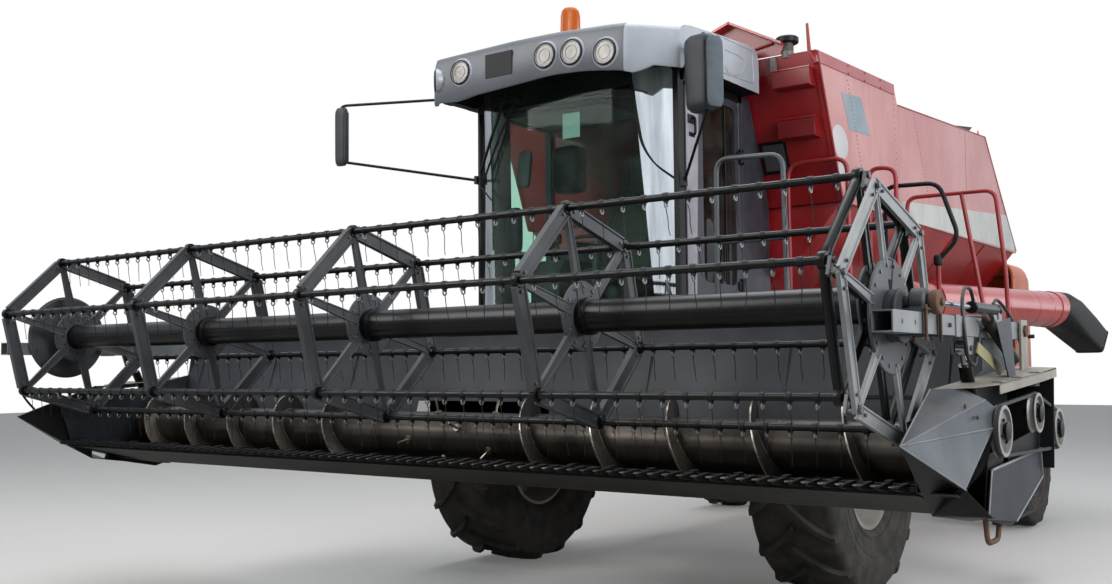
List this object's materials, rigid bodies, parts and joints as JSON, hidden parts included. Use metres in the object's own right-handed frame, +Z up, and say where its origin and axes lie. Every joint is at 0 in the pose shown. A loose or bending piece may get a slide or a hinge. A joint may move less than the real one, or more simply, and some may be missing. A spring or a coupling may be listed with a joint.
{
  "type": "combine harvester",
  "caption": "Self-propelled combine with a wide grain header, tined reel, cab, open grain tank, unloading auger and steered rear wheels.",
  "frame": {"origin": "on the ground under the middle of the bounding box", "axes": "-Y forward, +X to the machine left, +Z up"},
  "size_m": [6.6, 9.7301, 4.265],
  "materials": {
    "header_black": "worn satin",
    "header_grey": "dusty satin",
    "arm_grey": "satin",
    "auger_steel": "polished by crop",
    "tine_steel": "satin",
    "chrome_rod": "bright",
    "belt_rubber": "matt",
    "frame_black": "matt",
    "body_red": "gloss",
    "faded_red": "sun-bleached",
    "hood_orange": "sun-faded",
    "engine_grey": "matt",
    "roof_silver": "satin",
    "cab_black": "satin",
    "cab_glass": "clear",
    "door_grey": "satin",
    "trim_dark": "matt",
    "rail_grey": "satin",
    "lamp_orange": "clear lens",
    "rim_silver": "satin",
    "tyre": "dusty"
  },
  "bodies": {
    "carrier": {"chassis": "frame_black", "body_shell": "body_red", "grain_tank": "body_red", "engine_hood": "faded_red", "engine_block": "engine_grey", "straw_hood": "hood_orange", "cab_frame": "cab_black", "cab_roof": "roof_silver", "cab_glass": "cab_glass", "cab_interior": "trim_dark", "mirrors": "trim_dark", "platform": "rail_grey", "roof_lamps": "lamp_orange"},
    "header": {"feeder_house": "header_black", "header_pan": "header_black", "header_ends": "header_grey", "knife_bar": "frame_black", "header_drive": "belt_rubber"},
    "header_auger": {"header_auger": "auger_steel"},
    "reel_arms": {"reel_arms": "arm_grey"},
    "reel_lift_barrels": {"reel_lift_barrels": "frame_black"},
    "reel_lift_rods": {"reel_lift_rods": "chrome_rod"},
    "reel_carriage": {"reel_carriage": "header_grey"},
    "reel": {"reel_rotor": "header_black"},
    "bat_1": {"bat_1": "tine_steel"},
    "bat_2": {"bat_2": "tine_steel"},
    "bat_3": {"bat_3": "tine_steel"},
    "bat_4": {"bat_4": "tine_steel"},
    "bat_5": {"bat_5": "tine_steel"},
    "bat_6": {"bat_6": "tine_steel"},
    "reel_cam": {"reel_cam": "arm_grey"},
    "header_lift_barrels": {"header_lift_barrels": "frame_black"},
    "header_lift_rods": {"header_lift_rods": "chrome_rod"},
    "side_shield_left": {"side_shield_left": "body_red"},
    "side_shield_right": {"side_shield_right": "body_red"},
    "cab_door": {"cab_door": "door_grey", "door_glass": "cab_glass"},
    "unloading_auger": {"unloading_auger": "body_red"},
    "wheel_front_left": {"rim_front_left": "rim_silver", "tyre_front_left": "tyre"},
    "wheel_front_right": {"rim_front_right": "rim_silver", "tyre_front_right": "tyre"},
    "knuckle_left": {"knuckle_left": "frame_black"},
    "wheel_rear_left": {"rim_rear_left": "rim_silver", "tyre_rear_left": "tyre"},
    "knuckle_right": {"knuckle_right": "frame_black"},
    "wheel_rear_right": {"rim_rear_right": "rim_silver", "tyre_rear_right": "tyre"}
  },
  "joints": [
    {"name": "header_lift", "type": "hinge", "parent": "carrier", "child": "header", "pos_m": [0, -1.085, 1.75], "axis": [1, 0, 0], "range_deg": [0, 17]},
    {"name": "header_cylinder_swing", "type": "hinge", "parent": "carrier", "child": "header_lift_barrels", "pos_m": [0, -1.145, 0.67], "axis": [1, 0, 0], "range_deg": [0, 16.1]},
    {"name": "header_cylinder_stroke", "type": "slide", "parent": "header_lift_barrels", "child": "header_lift_rods", "axis": [0, -0.971, 0.2391], "range_m": [-0.325, 0]},
    {"name": "header_auger_spin", "type": "hinge", "parent": "header", "child": "header_auger", "pos_m": [0, -3.625, 1.2], "axis": [1, 0, 0], "continuous": true},
    {"name": "reel_lift", "type": "hinge", "parent": "header", "child": "reel_arms", "pos_m": [0, -2.865, 1.765], "axis": [-1, 0, 0], "range_deg": [0, 25]},
    {"name": "reel_cylinder_swing", "type": "hinge", "parent": "header", "child": "reel_lift_barrels", "pos_m": [0, -3.485, 1.21], "axis": [-1, 0, 0], "range_deg": [0, 14.3]},
    {"name": "reel_cylinder_stroke", "type": "slide", "parent": "reel_lift_barrels", "child": "reel_lift_rods", "axis": [0, -0.461, 0.8874], "range_m": [0, 0.342]},
    {"name": "reel_reach", "type": "slide", "parent": "reel_arms", "child": "reel_carriage", "axis": [0, -1, 0], "range_m": [0, 0.25]},
    {"name": "reel_spin", "type": "hinge", "parent": "reel_carriage", "child": "reel", "pos_m": [0, -4.285, 1.85], "axis": [1, 0, 0], "continuous": true},
    {"name": "bat_1_swivel", "type": "hinge", "parent": "reel", "child": "bat_1", "pos_m": [0, -4.4153, 2.3689], "axis": [1, 0, 0], "continuous": true},
    {"name": "bat_2_swivel", "type": "hinge", "parent": "reel", "child": "bat_2", "pos_m": [0, -4.7995, 1.9966], "axis": [1, 0, 0], "continuous": true},
    {"name": "bat_3_swivel", "type": "hinge", "parent": "reel", "child": "bat_3", "pos_m": [0, -4.6692, 1.4777], "axis": [1, 0, 0], "continuous": true},
    {"name": "bat_4_swivel", "type": "hinge", "parent": "reel", "child": "bat_4", "pos_m": [0, -4.1547, 1.3311], "axis": [1, 0, 0], "continuous": true},
    {"name": "bat_5_swivel", "type": "hinge", "parent": "reel", "child": "bat_5", "pos_m": [0, -3.7705, 1.7034], "axis": [1, 0, 0], "continuous": true},
    {"name": "bat_6_swivel", "type": "hinge", "parent": "reel", "child": "bat_6", "pos_m": [0, -3.9008, 2.2223], "axis": [1, 0, 0], "continuous": true},
    {"name": "reel_cam_spin", "type": "hinge", "parent": "reel_carriage", "child": "reel_cam", "pos_m": [0, -4.315, 1.8], "axis": [1, 0, 0], "continuous": true},
    {"name": "front_left_spin", "type": "hinge", "parent": "carrier", "child": "wheel_front_left", "pos_m": [1.43, -1.085, 0.87], "axis": [1, 0, 0], "continuous": true},
    {"name": "front_right_spin", "type": "hinge", "parent": "carrier", "child": "wheel_front_right", "pos_m": [-1.43, -1.085, 0.87], "axis": [1, 0, 0], "continuous": true},
    {"name": "steer_left", "type": "hinge", "parent": "carrier", "child": "knuckle_left", "pos_m": [1.18, 3.115, 0.65], "axis": [0, 0, 1], "range_deg": [-28, 28]},
    {"name": "steer_right", "type": "hinge", "parent": "carrier", "child": "knuckle_right", "pos_m": [-1.18, 3.115, 0.65], "axis": [0, 0, 1], "range_deg": [-28, 28]},
    {"name": "rear_left_spin", "type": "hinge", "parent": "knuckle_left", "child": "wheel_rear_left", "pos_m": [1.595, 3.115, 0.65], "axis": [1, 0, 0], "continuous": true},
    {"name": "rear_right_spin", "type": "hinge", "parent": "knuckle_right", "child": "wheel_rear_right", "pos_m": [-1.595, 3.115, 0.65], "axis": [1, 0, 0], "continuous": true},
    {"name": "cab_door_swing", "type": "hinge", "parent": "carrier", "child": "cab_door", "pos_m": [0.894, -1.415, 1.85], "axis": [0, 0, 1], "range_deg": [0, 75]},
    {"name": "side_shield_left_lift", "type": "hinge", "parent": "carrier", "child": "side_shield_left", "pos_m": [1.338, 1.715, 1.894], "axis": [0, -1, 0], "range_deg": [0, 75]},
    {"name": "side_shield_right_lift", "type": "hinge", "parent": "carrier", "child": "side_shield_right", "pos_m": [-1.338, 1.715, 1.894], "axis": [0, 1, 0], "range_deg": [0, 75]},
    {"name": "unloading_auger_swing", "type": "hinge", "parent": "carrier", "child": "unloading_auger", "pos_m": [1.33, 0.765, 2.15], "axis": [0, 0, -1], "range_deg": [0, 80]}
  ],
  "couplings": [
    {"joint": "header_cylinder_swing", "follows": "header_lift", "ratio": 0.9391},
    {"joint": "header_cylinder_stroke", "follows": "header_lift", "m_per_rad": -1.0755},
    {"joint": "reel_cylinder_swing", "follows": "reel_lift", "ratio": 0.5659},
    {"joint": "reel_cylinder_stroke", "follows": "reel_lift", "m_per_rad": 0.7787},
    {"joint": "reel_cam_spin", "follows": "reel_spin", "ratio": 1},
    {"joint": "steer_right", "follows": "steer_left", "ratio": 1},
    {"joint": "bat_1_swivel", "follows": "reel_spin", "ratio": -1},
    {"joint": "bat_2_swivel", "follows": "reel_spin", "ratio": -1},
    {"joint": "bat_3_swivel", "follows": "reel_spin", "ratio": -1},
    {"joint": "bat_4_swivel", "follows": "reel_spin", "ratio": -1},
    {"joint": "bat_5_swivel", "follows": "reel_spin", "ratio": -1},
    {"joint": "bat_6_swivel", "follows": "reel_spin", "ratio": -1}
  ]
}
